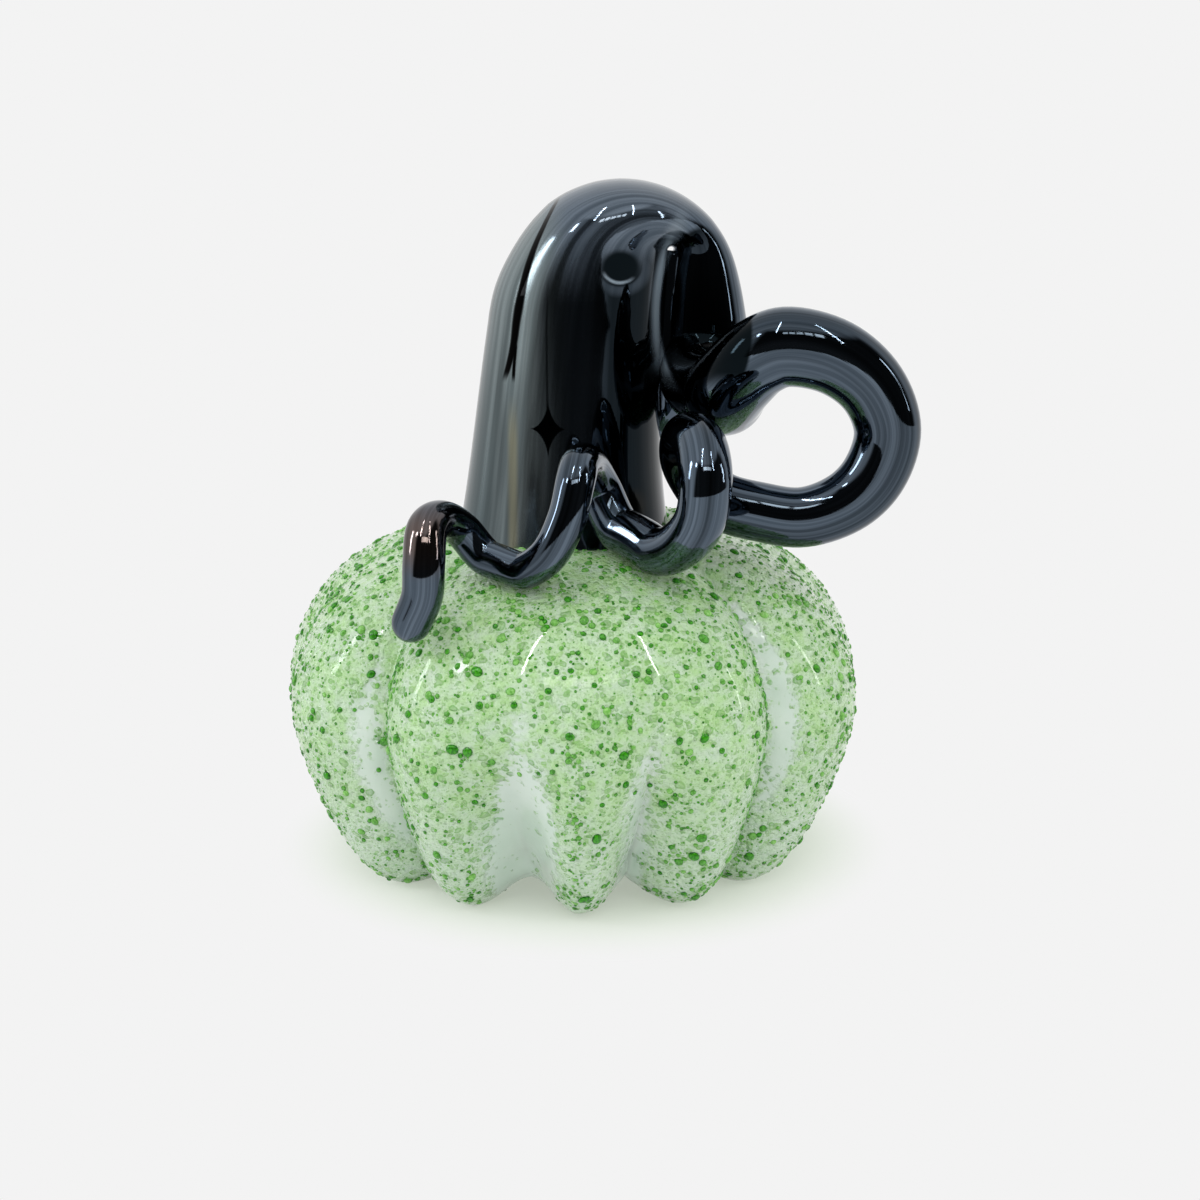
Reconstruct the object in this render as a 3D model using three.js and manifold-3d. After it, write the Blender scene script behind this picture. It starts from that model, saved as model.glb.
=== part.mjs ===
// A glass pumpkin paperweight: a ribbed blown body, a hooked stem and a curled tendril.
// Millimetres, +Z up. The front of the pumpkin faces -Y.

import * as THREE from "three";
import { mergeVertices } from "three/addons/utils/BufferGeometryUtils.js";
import Module from "manifold-3d";

const wasm = await Module();
wasm.setup();

// Blown body: heights stand on the foot plane, radii lie on the crest of a rib
const shoulderHeight = 52;
const shoulderRadius = 23;
const cheekHeight = 43.2;
const cheekRadius = 39.4;
const bellyHeight = 27.4;
const bellyRadius = 46.8;
const skirtHeight = 6.8;
const skirtRadius = 40.8;
const footRadius = 31;
const footGrind = 0.6;
const crownDip = 8;
const puntRise = 8;

// Mark under the base where the holding rod was broken off and ground
const pontilRadius = 7;
const pontilHeight = 0.8;

// Glass thickness, and the opening where the body was broken off its pipe
const wall = 4.5;
const neckRadius = 6.5;

// Ribs: depth of the folds between them, and for each front rib its width in degrees and the fold
// on its left. A soft fold is a wide trough at 1 and a tight crease at 0. It starts at a share of
// the crest line and is deepest at the fold foot. The back ribs share what is left.
const ribDepth = 8;
const foldFoot = 0.66;
const firstFold = -82;
const frontRibs = [
  { width: 42, softness: 0.3, start: 0.2 },
  { width: 29, softness: 0.1, start: 0.1 },
  { width: 26, softness: 0.55, start: 0.42 },
  { width: 28.5, softness: 0.4, start: 0.4 },
  { width: 41.5, softness: 0.1, start: 0.1 },
];
const backRibCount = 5;
const backRib = { softness: 0.35, start: 0.22 };

// Degrees by which the ribs at the sides turn to the front on their way down to the feet
const sideLean = 20;

// Stem: a column that flares on the crown and hooks over to the right
const columnRadius = 12.9;
const columnShift = 1.7;
const columnTaper = 2.9;
const rootFlare = 3;
const rootShift = -3.2;
const columnHeight = 50;
const hookTip = 5.5;
const foldGap = 0.8;
const foldRise = 8;
const plugDepth = 3;

// Limb: the drooping end of the hook, fused to the column's side, then turned to the front
const limbRadius = 6.9;
const limbEndRadius = 6.4;
const limbDrop = 20.2;
const limbSetback = 3;
const limbReach = 7.2;
const limbPress = 0.6;
const limbStandoff = 2.8;

// Web of glass in the corner where the limb was pressed to the column
const webRadius = 3.1;
const webProud = 0.7;

// Tendril: inside radius of its big curl, in which its stations are counted, and its straight start
const curlRadius = 10;
const tendrilLead = 2.2;

// Gap kept between one piece of glass and the next
const clearance = 0.3;

// Rows of the skin from crown to base, and its columns on each rib
const skinSteps = 22;
const ribSteps = 10;

const crownHeight = shoulderHeight - crownDip;

// Crest of a rib, from the crown centre over the shoulder and belly to the middle of the base
const crest = new THREE.SplineCurve([
  new THREE.Vector2(0, crownHeight),
  new THREE.Vector2(shoulderRadius / 2, (crownHeight + shoulderHeight) / 2),
  new THREE.Vector2(shoulderRadius, shoulderHeight),
  new THREE.Vector2(cheekRadius, cheekHeight),
  new THREE.Vector2(bellyRadius, bellyHeight),
  new THREE.Vector2(skirtRadius, skirtHeight),
  new THREE.Vector2(footRadius, 0),
  new THREE.Vector2(footRadius / 2, puntRise * 0.75),
  new THREE.Vector2(0, puntRise),
]);

// Every rib in order round the body, with the bearings of its two folds
function ribList() {
  const frontWidth = frontRibs.reduce((sum, rib) => sum + rib.width, 0);
  const backWidth = (360 - frontWidth) / backRibCount;
  const back = Array.from({ length: backRibCount }, () => ({ ...backRib, width: backWidth }));
  const all = [...frontRibs, ...back];
  let bearing = firstFold;
  return all.map((rib, i) => {
    const from = bearing;
    bearing += rib.width;
    return { from, width: rib.width, leftFold: rib, rightFold: all[(i + 1) % all.length] };
  });
}
const ribs = ribList();

// How deep the skin lies under the crest line, as a share of the rib depth: 0 on a crest, and 1 in
// a fold at its deepest. A fold fades out over the crown and under the base.
function foldShare(bearing, along) {
  const turned = THREE.MathUtils.euclideanModulo(bearing - firstFold, 360) + firstFold;
  const rib = ribs.findLast((r) => turned >= r.from - 1e-9);
  const across = ((turned - rib.from) / rib.width) * 2 - 1;
  const fold = across < 0 ? rib.leftFold : rib.rightFold;
  const reach = 0.95;
  const round = (1 - Math.sqrt(1 - (reach * across) ** 2)) / (1 - Math.sqrt(1 - reach ** 2));
  const wave = (1 - Math.cos(Math.PI * across)) / 2;
  const onCrown = THREE.MathUtils.smoothstep(along, fold.start, foldFoot);
  const underBase = 1 - THREE.MathUtils.smoothstep(along, 0.72, 0.98);
  return THREE.MathUtils.lerp(round, wave, fold.softness) * onCrown * underBase;
}

// A point of the body's skin, or of a skin that lies inset inside it
function skinPoint(bearing, along, inset = 0) {
  const line = crest.getPoint(along);
  const tangent = crest.getTangent(along);
  const sink = inset + ribDepth * foldShare(bearing, along);
  const radius = line.x + tangent.y * sink;
  const straight = THREE.MathUtils.degToRad(bearing);
  const lean = sideLean * Math.sin(straight) ** 5 * THREE.MathUtils.smoothstep(along, 0.45, 0.72);
  const turn = straight - THREE.MathUtils.degToRad(lean);
  return new THREE.Vector3(
    radius * Math.sin(turn),
    -radius * Math.cos(turn),
    line.y - tangent.x * sink,
  );
}

// Height of the body's upper skin over a place
function skinHeight(x, y) {
  const bearing = THREE.MathUtils.radToDeg(Math.atan2(x, -y));
  const wanted = Math.hypot(x, y);
  let low = 0;
  let high = 0.5;
  for (let i = 0; i < 24; i++) {
    const middle = (low + high) / 2;
    const point = skinPoint(bearing, middle);
    if (Math.hypot(point.x, point.y) < wanted) low = middle;
    else high = middle;
  }
  return skinPoint(bearing, low).z;
}

// Height at which a ball lowered on the body comes to rest, with the clearance under it
function restHeight(x, y, radius) {
  const reach = radius + clearance;
  let height = skinHeight(x, y) + reach;
  for (const share of [0.35, 0.7, 0.92]) {
    for (let turn = 0; turn < 2 * Math.PI; turn += Math.PI / 6) {
      const dx = reach * share * Math.cos(turn);
      const dy = reach * share * Math.sin(turn);
      const lift = reach * Math.sqrt(1 - share ** 2);
      height = Math.max(height, skinHeight(x + dx, y + dy) + lift);
    }
  }
  return height;
}

// A closed solid from rings of equal size, with a pole at each end
function skinOverRings(startPole, rings, endPole) {
  const size = rings[0].length;
  const points = [startPole, ...rings.flat(), endPole];
  const index = [];
  const last = points.length - 1;
  for (let j = 0; j < size; j++) {
    const k = (j + 1) % size;
    index.push(0, 1 + j, 1 + k);
    for (let i = 0; i + 1 < rings.length; i++) {
      const a = 1 + i * size;
      const b = a + size;
      index.push(a + j, b + k, a + k);
      index.push(a + j, b + j, b + k);
    }
    const lastRing = 1 + (rings.length - 1) * size;
    index.push(last, lastRing + k, lastRing + j);
  }
  const geometry = new THREE.BufferGeometry();
  geometry.setFromPoints(points);
  geometry.setIndex(index);
  return geometry;
}

// A level or tilted oval ring: half sizes along two directions about a centre
function ovalRing(centre, across, halfAcross, along, halfAlong, sides) {
  return Array.from({ length: sides }, (_, j) => {
    const turn = (2 * Math.PI * j) / sides;
    return centre
      .clone()
      .addScaledVector(across, halfAcross * Math.cos(turn))
      .addScaledVector(along, halfAlong * Math.sin(turn));
  });
}

function toSolid(geometry) {
  geometry.deleteAttribute("normal");
  geometry.deleteAttribute("uv");
  const merged = mergeVertices(geometry, 1e-4);
  const mesh = new wasm.Mesh({
    numProp: 3,
    vertProperties: merged.attributes.position.array,
    triVerts: new Uint32Array(merged.index.array),
  });
  return new wasm.Manifold(mesh);
}

function toGeometry(solid) {
  const mesh = solid.getMesh();
  const geometry = new THREE.BufferGeometry();
  geometry.setAttribute("position", new THREE.BufferAttribute(mesh.vertProperties, 3));
  geometry.setIndex(new THREE.BufferAttribute(mesh.triVerts, 1));
  geometry.computeVertexNormals();
  return geometry;
}

// Bearings of the skin's columns of points, with the same count on every rib
function bearings(perRib) {
  return ribs.flatMap((rib) =>
    Array.from({ length: perRib }, (_, i) => rib.from + (rib.width * i) / perRib),
  );
}

// The body's outer or inner skin as a closed solid
function bodySkin(inset, rows, perRib) {
  const turns = bearings(perRib);
  const rings = [];
  for (let i = 1; i < rows; i++) {
    rings.push(turns.map((bearing) => skinPoint(bearing, i / rows, inset)));
  }
  const top = new THREE.Vector3(0, 0, crownHeight - inset);
  const bottom = new THREE.Vector3(0, 0, puntRise + inset);
  return toSolid(skinOverRings(top, rings, bottom));
}

function levelCylinder(radius, bottom, top, sides) {
  const x = new THREE.Vector3(1, 0, 0);
  const y = new THREE.Vector3(0, 1, 0);
  const low = new THREE.Vector3(0, 0, bottom);
  const high = new THREE.Vector3(0, 0, top);
  const rings = [high, low].map((at) => ovalRing(at, x, radius, y, radius, sides));
  return toSolid(skinOverRings(high, rings, low));
}

const outerSkin = bodySkin(0, skinSteps, ribSteps);

// Blown shell: open at the neck, standing on feet that are ground level
function bodyGeometry() {
  const cavity = bodySkin(wall, 12, 4);
  const neck = levelCylinder(neckRadius, crownHeight - 2 * wall, crownHeight + wall, 20);
  const pontil = levelCylinder(pontilRadius, puntRise - pontilHeight, puntRise + wall / 2, 20);
  const shell = outerSkin.subtract(cavity).subtract(neck).add(pontil);
  return toGeometry(shell.trimByPlane([0, 0, 1], footGrind));
}

const hookRadius = columnRadius + hookTip + foldGap / 2;
const foldHeight = crownHeight + columnHeight;
const foldX = columnShift + columnRadius + foldGap / 2;
const hookCentre = new THREE.Vector3(
  columnShift + hookRadius - columnRadius,
  0,
  foldHeight - foldRise,
);

// Half width of the column, and the sideways place of its axis, at a share of its height
function columnHalf(rise) {
  return columnRadius + columnTaper * (1 - rise) + rootFlare * (1 - rise) ** 4;
}
function columnAxis(rise) {
  return columnShift + rootShift * (1 - rise ** 2.2);
}

// Centre of a strand beside the column: a drop below the fold, a depth, and the gap between them,
// below zero where the two are fused
function besideColumn(drop, y, radius, gap) {
  const rise = 1 - drop / columnHeight;
  const reach = columnHalf(rise) + radius + gap;
  const x = columnAxis(rise) + Math.sqrt(reach ** 2 - y ** 2);
  return { at: new THREE.Vector3(x, y, foldHeight - drop), radius };
}

// The limb's stations, from inside the hook's end to the face where the tendril goes on
const limbStations = [
  besideColumn(-1, limbSetback, hookTip - 0.2, -limbPress),
  besideColumn(limbDrop * 0.22, limbSetback, (hookTip + limbRadius) / 2, -limbPress),
  besideColumn(limbDrop * 0.48, limbSetback, limbRadius, -limbPress),
  besideColumn(limbDrop * 0.76, limbSetback * 0.6, limbRadius, -limbPress),
  besideColumn(limbDrop * 0.95, -limbReach * 0.32, limbEndRadius + 0.2, -limbPress / 2),
  besideColumn(limbDrop, -limbReach, limbEndRadius, limbStandoff),
];

// Rings up the column: the root flares on the crown and leans to the left
function columnRings(sides, steps) {
  const x = new THREE.Vector3(1, 0, 0);
  const y = new THREE.Vector3(0, -1, 0);
  const base = crownHeight - plugDepth;
  return Array.from({ length: steps }, (_, i) => {
    const rise = i / steps;
    const half = columnHalf(rise);
    const height = base + (columnHeight + plugDepth) * rise;
    const centre = new THREE.Vector3(columnAxis(rise), 0, height);
    return ovalRing(centre, x, half, y, half, sides);
  });
}

// Rings over the hook turn about the fold between column and limb, out to the hook's round outside
function hookRings(sides, steps) {
  const fold = new THREE.Vector3(foldX, 0, foldHeight);
  const offset = fold.clone().sub(hookCentre);
  const y = new THREE.Vector3(0, -1, 0);
  return Array.from({ length: steps + 1 }, (_, i) => {
    const turn = (Math.PI * i) / steps;
    const out = new THREE.Vector3(-Math.cos(turn), 0, Math.sin(turn));
    const b = offset.dot(out);
    const reach = -b + Math.sqrt(b * b - offset.lengthSq() + hookRadius ** 2);
    const half = (reach - foldGap / 2) / 2;
    const share = THREE.MathUtils.smoothstep(i, 0, steps);
    const depth = THREE.MathUtils.lerp(columnRadius, hookTip, share);
    const centre = fold.clone().addScaledVector(out, foldGap / 2 + half);
    centre.y = limbSetback * share;
    return ovalRing(centre, out.negate(), half, y, depth, sides);
  });
}

function limbSolid() {
  const down = new THREE.Vector3(0, 0, -1);
  const { rings, centre } = strandRings(limbStations, down, 20, 3);
  return toSolid(skinOverRings(limbStations[0].at, rings, centre));
}

// The web fills the corner between limb and column, and sinks into the column at its foot
function webSolid() {
  const stations = [
    besideColumn(0, 0.5, webRadius * 0.65, webProud - webRadius * 0.65),
    besideColumn(limbDrop * 0.5, 0.5, webRadius * 0.8, webProud - webRadius * 0.8),
    besideColumn(limbDrop * 0.75, 0.5, webRadius, webProud - webRadius),
    besideColumn(limbDrop, 0.5, webRadius, webProud - webRadius),
    besideColumn(limbDrop * 1.2, 0.5, webRadius * 0.85, -webRadius * 0.75),
    besideColumn(limbDrop * 1.36, 0.5, webRadius * 0.5, -webRadius * 0.75),
  ];
  const down = new THREE.Vector3(0, 0, -1);
  const { rings, centre } = strandRings(stations, down, 14, 2);
  return toSolid(skinOverRings(stations[0].at, rings, centre));
}

// Hooked stem: its root follows the crown's dip and plugs the neck
function stemGeometry() {
  const sides = 24;
  const rings = [...columnRings(sides, 10), ...hookRings(sides, 14)];
  const lastRing = rings.at(-1);
  const tip = lastRing[0].clone().add(lastRing[sides / 2]).divideScalar(2);
  const root = new THREE.Vector3(columnAxis(0), 0, crownHeight - plugDepth);
  const column = toSolid(skinOverRings(root, rings, tip));
  const glass = column.add(limbSolid()).add(webSolid());
  const seat = outerSkin.translate([0, 0, clearance]);
  const plug = levelCylinder(neckRadius - clearance, crownHeight - plugDepth, crownHeight + wall, 20);
  return toGeometry(glass.subtract(seat).add(plug));
}

// Place of a strand's centre, moved out where the strand would touch the column
function clearOfColumn(x, y, height, radius) {
  const rise = THREE.MathUtils.clamp((height - crownHeight) / columnHeight, 0, 1);
  const axis = new THREE.Vector2(columnAxis(rise), 0);
  const away = new THREE.Vector2(x, y).sub(axis);
  const least = columnHalf(rise) + radius + clearance;
  return away.setLength(Math.max(away.length(), least)).add(axis);
}

// Stations of the tendril's centre from the limb to the tip: place, height over the shoulder and
// radius. A station that would sink into the body rests on it instead.
function tendrilStations() {
  const limb = strandRings(limbStations, new THREE.Vector3(0, 0, -1), 20, 3);
  const start = limb.centre.clone().addScaledVector(limb.direction, clearance);
  const loops = [
    [2.28, -1.32, 2.23, 0.62],
    [2.43, -1.74, 2.49, 0.6],
    [2.7, -2.04, 2.78, 0.585],
    [3.04, -2.15, 2.92, 0.58],
    [3.74, -2.2, 2.78, 0.55],
    [4.28, -2.2, 2.35, 0.51],
    [4.52, -2.2, 1.75, 0.49],
    [4.37, -2.2, 1.15, 0.485],
    [4.01, -2.2, 0.74, 0.47],
    [3.37, -2.2, 0.49, 0.45],
    [2.73, -2.1, 0.55, 0.445],
    [2.1, -1.95, 0.73, 0.44],
    [1.73, -1.95, 1.23, 0.43],
    [1.68, -2.4, 1.63, 0.41],
    [1.82, -3.1, 1.59, 0.39],
    [1.86, -3.5, 1.23, 0.38],
    [1.79, -3.5, 0.68, 0.37],
    [1.47, -3.1, 0.21, 0.36],
    [1.06, -2.6, 0.09, 0.355],
    [0.67, -2.2, 0.35, 0.345],
    [0.42, -2, 0.87, 0.33],
    [0.25, -2.35, 1.26, 0.31],
    [0.14, -2.9, 1.34, 0.295],
    [0.09, -3.2, 1.19, 0.29],
    [-0.03, -3.4, 0.69, 0.285],
    [-0.3, -3.4, 0.16, 0.28],
    [-0.77, -3.1, -0.14, 0.27],
    [-1.22, -2.8, 0.05, 0.28],
    [-1.52, -2.8, 0.41, 0.28],
    [-1.78, -3.1, 0.61, 0.29],
    [-1.94, -3.5, 0.55, 0.3],
    [-1.97, -3.75, 0.14, 0.305],
    [-2, -3.8, -0.32, 0.3],
    [-2.15, -3.8, -0.68, 0.29],
  ].map((station) => {
    const [x, y, rise, radius] = station.map((share) => share * curlRadius);
    const place = clearOfColumn(x, y, shoulderHeight + rise, radius);
    const height = Math.max(shoulderHeight + rise, restHeight(place.x, place.y, radius));
    return { at: new THREE.Vector3(place.x, place.y, height), radius };
  });
  const straight = start.clone().addScaledVector(limb.direction, tendrilLead);
  const leaving = [start, straight].map((at) => ({ at, radius: limbEndRadius }));
  return { direction: limb.direction, stations: [...leaving, ...loops] };
}

// Rings along a strand that leaves its first station in a given direction
function strandRings(stations, firstDirection, sides, stepsPerStation) {
  const path = new THREE.CatmullRomCurve3(stations.map((s) => s.at), false, "centripetal");
  const count = (stations.length - 1) * stepsPerStation;
  const rings = [];
  let side = new THREE.Vector3(1, 0, 0);
  let direction = firstDirection;
  let centre = stations[0].at;
  for (let i = 0; i <= count; i++) {
    const place = i / stepsPerStation;
    const from = Math.min(Math.floor(place), stations.length - 2);
    const radius = THREE.MathUtils.lerp(stations[from].radius, stations[from + 1].radius, place - from);
    centre = path.getPoint(i / count);
    centre.z = Math.max(centre.z, restHeight(centre.x, centre.y, radius));
    direction = i === 0 ? firstDirection : path.getTangent(i / count);
    side = side.addScaledVector(direction, -side.dot(direction)).normalize();
    const up = side.clone().cross(direction);
    rings.push(ovalRing(centre, side, radius, up, radius, sides));
  }
  return { rings, centre, direction, side };
}

// Curled tendril: it goes on from the limb's flat end and closes in a rounded tip
function tendrilGeometry() {
  const sides = 14;
  const { direction: leaving, stations } = tendrilStations();
  const { rings, centre, direction, side } = strandRings(stations, leaving, sides, 3);
  const up = side.clone().cross(direction);
  const radius = stations.at(-1).radius;
  for (const turn of [Math.PI / 8, Math.PI / 4, (3 * Math.PI) / 8]) {
    const at = centre.clone().addScaledVector(direction, radius * Math.sin(turn));
    const size = radius * Math.cos(turn);
    rings.push(ovalRing(at, side, size, up, size, sides));
  }
  const tip = centre.clone().addScaledVector(direction, radius);
  return toGeometry(toSolid(skinOverRings(stations[0].at, rings, tip)));
}

function glassMaterial(colour, roughness) {
  return new THREE.MeshStandardMaterial({ color: colour, roughness, metalness: 0 });
}

function named(name, geometry, material) {
  const mesh = new THREE.Mesh(geometry, material);
  mesh.name = name;
  return mesh;
}

const opalGlass = glassMaterial(0xd9efd0, 0.25);
const blackGlass = glassMaterial(0x17191d, 0.08);

const group = new THREE.Group();
group.name = "glass_pumpkin";
group.add(named("body", bodyGeometry(), opalGlass));
group.add(named("stem", stemGeometry(), blackGlass));
group.add(named("tendril", tendrilGeometry(), blackGlass));

// The frame's origin lies under the middle of the whole object, on the plane of its feet
const bounds = new THREE.Box3().setFromObject(group);
const middle = bounds.getCenter(new THREE.Vector3());
group.position.set(-middle.x, -middle.y, -bounds.min.z);

export default group;
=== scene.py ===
import math

import bpy
import numpy as np
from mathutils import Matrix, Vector
from mathutils.bvhtree import BVHTree


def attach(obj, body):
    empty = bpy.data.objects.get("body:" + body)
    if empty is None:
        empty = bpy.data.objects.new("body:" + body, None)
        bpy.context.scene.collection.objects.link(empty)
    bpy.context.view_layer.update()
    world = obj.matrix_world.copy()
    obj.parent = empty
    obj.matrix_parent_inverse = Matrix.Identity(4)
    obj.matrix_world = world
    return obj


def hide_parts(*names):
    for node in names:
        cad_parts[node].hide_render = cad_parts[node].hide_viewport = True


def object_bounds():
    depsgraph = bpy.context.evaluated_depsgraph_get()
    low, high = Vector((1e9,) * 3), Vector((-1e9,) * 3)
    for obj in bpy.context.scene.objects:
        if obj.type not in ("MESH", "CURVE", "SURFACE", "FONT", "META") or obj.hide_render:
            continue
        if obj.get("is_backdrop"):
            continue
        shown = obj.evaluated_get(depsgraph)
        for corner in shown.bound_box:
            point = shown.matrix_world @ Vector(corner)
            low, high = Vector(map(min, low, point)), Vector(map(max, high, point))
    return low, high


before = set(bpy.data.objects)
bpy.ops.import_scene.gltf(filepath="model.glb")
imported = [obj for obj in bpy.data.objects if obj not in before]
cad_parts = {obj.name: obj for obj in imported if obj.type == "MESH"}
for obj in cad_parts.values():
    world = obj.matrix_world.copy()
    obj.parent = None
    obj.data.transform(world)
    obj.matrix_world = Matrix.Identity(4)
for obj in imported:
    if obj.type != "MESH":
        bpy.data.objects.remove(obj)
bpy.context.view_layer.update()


# Camera: it stands close in front of the pumpkin, a little above the hook, and looks slightly
# down on it.
look_down = 12.8
eye = bpy.data.objects.new("camera", bpy.data.cameras.new("camera"))
bpy.context.collection.objects.link(eye)
bpy.context.scene.camera = eye
eye.location = (0.0024, -0.2700, 0.1004)
eye.rotation_euler = (math.radians(90 - look_down), 0, 0)
eye.data.sensor_width = 36
eye.data.lens = 52.38


# Blown body: one bubble of opal white glass with ten ribs, standing on the ground tips of its
# ribs. A plain turned bubble is drawn first, and the fold tree presses the folds into it.
mm = 0.001
foot_axis = Vector((-1.837, -0.006, -0.6)) * mm

# Radius and height of a rib's crest, from the crown down to the pushed-up base
crest_turns = np.array([
    (0, 44), (11.5, 48), (23, 52), (39.4, 43.2), (46.8, 27.4),
    (40.8, 6.8), (31, 0), (15.5, 6), (0, 8),
]) * mm
skin_inset = 0.35 * mm
first_fold = -82
front_ribs = [
    {"width": 42, "softness": 0.3, "start": 0.20},
    {"width": 29, "softness": 0.1, "start": 0.10},
    {"width": 26, "softness": 0.9, "start": 0.42},
    {"width": 28.5, "softness": 0.4, "start": 0.40},
    {"width": 41.5, "softness": 0.1, "start": 0.10},
]
back_rib = {"softness": 0.35, "start": 0.22}
back_ribs = 5
side_lean, lean_from, lean_length = 20, 0.45, 0.27
skin_rows = 120
rib_columns = 26


def on_cubic(t, start, end, leave, reach):
    """Place and slope at a share of the way between two points, with these slopes at its ends."""
    cubic = 2 * start - 2 * end + leave + reach
    square = 3 * end - 3 * start - 2 * leave - reach
    place = cubic * t**3 + square * t**2 + leave * t + start
    return place, 3 * cubic * t**2 + 2 * square * t + leave


def crest_line(along):
    """Place and direction on a rib's crest, at a share of the way from the crown to the base."""
    last = len(crest_turns) - 1
    place = along * last
    i = min(int(place), last - 1)
    p0, p1, p2, p3 = (crest_turns[min(max(k, 0), last)] for k in (i - 1, i, i + 1, i + 2))
    point, slope = on_cubic(place - i, p1, p2, (p2 - p0) / 2, (p3 - p1) / 2)
    return point, slope / np.linalg.norm(slope)


def rib_columns_round():
    """Bearing, place across the rib, and softness and start of the near fold, column by column."""
    back_width = (360 - sum(rib["width"] for rib in front_ribs)) / back_ribs
    ribs = front_ribs + [dict(back_rib, width=back_width) for _ in range(back_ribs)]
    columns = []
    first_bearing = first_fold
    for i, rib in enumerate(ribs):
        following = ribs[(i + 1) % len(ribs)]
        for k in range(rib_columns):
            across = 2 * k / rib_columns - 1
            fold = rib if across < 0 else following
            bearing = first_bearing + rib["width"] * k / rib_columns
            columns.append((bearing, across, fold["softness"], fold["start"]))
        first_bearing += rib["width"]
    return columns


def turned_bubble():
    """The bubble before its folds, with what the fold tree needs written on its points."""
    columns = rib_columns_round()
    points, inward, marks = [], [], []
    for i in range(skin_rows + 1):
        along = i / skin_rows
        (radius, height), (out, up) = crest_line(along)
        pole = i in (0, skin_rows)
        low = min(max((along - lean_from) / lean_length, 0), 1)
        low = low * low * (3 - 2 * low)
        for bearing, across, softness, start in columns[:1] if pole else columns:
            turn = math.radians(bearing)
            turn -= math.radians(side_lean) * math.sin(turn) ** 5 * low
            aside = 0 if pole else up
            points.append((
                (radius + aside * skin_inset) * math.sin(turn),
                -(radius + aside * skin_inset) * math.cos(turn),
                height - out * skin_inset,
            ))
            inward.append((aside * math.sin(turn), -aside * math.cos(turn), -out))
            marks.append((along, across, softness, start))
    size = len(columns)
    last = len(points) - 1
    faces = []
    for j in range(size):
        k = (j + 1) % size
        faces.append((0, 1 + j, 1 + k))
        for i in range(skin_rows - 2):
            a = 1 + i * size
            faces.append((a + j, a + size + j, a + size + k, a + k))
        a = 1 + (skin_rows - 2) * size
        faces.append((last, a + k, a + j))
    mesh = bpy.data.meshes.new("turned_bubble")
    mesh.from_pydata([Vector(p) + foot_axis for p in points], [], faces)
    layer = mesh.attributes.new("inward", "FLOAT_VECTOR", "POINT")
    layer.data.foreach_set("vector", np.array(inward).ravel())
    for name, column in zip(("along", "across", "softness", "start"), np.array(marks).T):
        layer = mesh.attributes.new(name, "FLOAT", "POINT")
        layer.data.foreach_set("value", column.copy())
    return mesh


class Wire:
    """One socket of a node tree. Sums written on it add Math nodes to the same tree."""

    def __init__(self, tree, socket=None):
        self.tree = tree
        self.socket = socket

    def add(self, kind, settings=None, inputs=None, out=0):
        """A node of any kind: its settings are set first, then its sockets' values or links."""
        node = self.tree.nodes.new(kind)
        for name, value in (settings or {}).items():
            if name == "curve":
                curve = node.mapping.curves[0]
                while len(curve.points) < len(value):
                    curve.points.new(0.5, 0.5)
                for point, place in zip(curve.points, value):
                    point.location = place
                node.mapping.update()
            else:
                setattr(node, name, value)
        self.feed(node, inputs or {})
        return Wire(self.tree, node.outputs[out] if node.outputs else None)

    def feed(self, node, inputs):
        """Links a node's sockets to wires, or sets their values."""
        for name, value in inputs.items():
            if isinstance(value, Wire):
                self.tree.links.new(value.socket, node.inputs[name])
            else:
                node.inputs[name].default_value = value

    def sibling(self, out):
        """Another output of the same node."""
        return Wire(self.tree, self.socket.node.outputs[out])

    def math(self, operation, *values):
        """A Math node on these values."""
        return self.add("ShaderNodeMath", {"operation": operation}, dict(enumerate(values)))

    def __add__(self, other):
        return self.math("ADD", self, other)

    def __radd__(self, other):
        return self.math("ADD", other, self)

    def __sub__(self, other):
        return self.math("SUBTRACT", self, other)

    def __rsub__(self, other):
        return self.math("SUBTRACT", other, self)

    def __mul__(self, other):
        return self.math("MULTIPLY", self, other)

    def __rmul__(self, other):
        return self.math("MULTIPLY", other, self)

    def __truediv__(self, other):
        return self.math("DIVIDE", self, other)

    def __rtruediv__(self, other):
        return self.math("DIVIDE", other, self)

    def __pow__(self, other):
        return self.math("POWER", self, other)

    def step(self, low, high):
        """A soft step: 0 below low, 1 above high."""
        return self.add(
            "ShaderNodeMapRange",
            {"interpolation_type": "SMOOTHSTEP"},
            {"Value": self, "From Min": low, "From Max": high},
        )

    def moved(self, operation, *values):
        """Vector maths on this socket."""
        inputs = dict(enumerate((self, *values)))
        return self.add("ShaderNodeVectorMath", {"operation": operation}, inputs)

    def blend(self, first, second):
        """A colour between two, by this socket."""
        inputs = {0: self, 6: first, 7: second}
        return self.add("ShaderNodeMix", {"data_type": "RGBA"}, inputs, out=2)


def new_material(name):
    """A new material, its Principled shader, and Object coordinates as a wire."""
    material = bpy.data.materials.new(name)
    material.use_nodes = True
    shader = material.node_tree.nodes["Principled BSDF"]
    return material, shader, Wire(material.node_tree).add("ShaderNodeTexCoord", out="Object")


def growing_tree(name, sizes):
    """A Geometry Nodes tree with named sizes, and its group input as a wire."""
    tree = bpy.data.node_groups.new(name, "GeometryNodeTree")
    tree.interface.new_socket("Geometry", in_out="INPUT", socket_type="NodeSocketGeometry")
    tree.interface.new_socket("Geometry", in_out="OUTPUT", socket_type="NodeSocketGeometry")
    for size in sizes:
        kind = "NodeSocketInt" if size == "Seed" else "NodeSocketFloat"
        tree.interface.new_socket(size, in_out="INPUT", socket_type=kind)
    return Wire(tree).add("NodeGroupInput")


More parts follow.
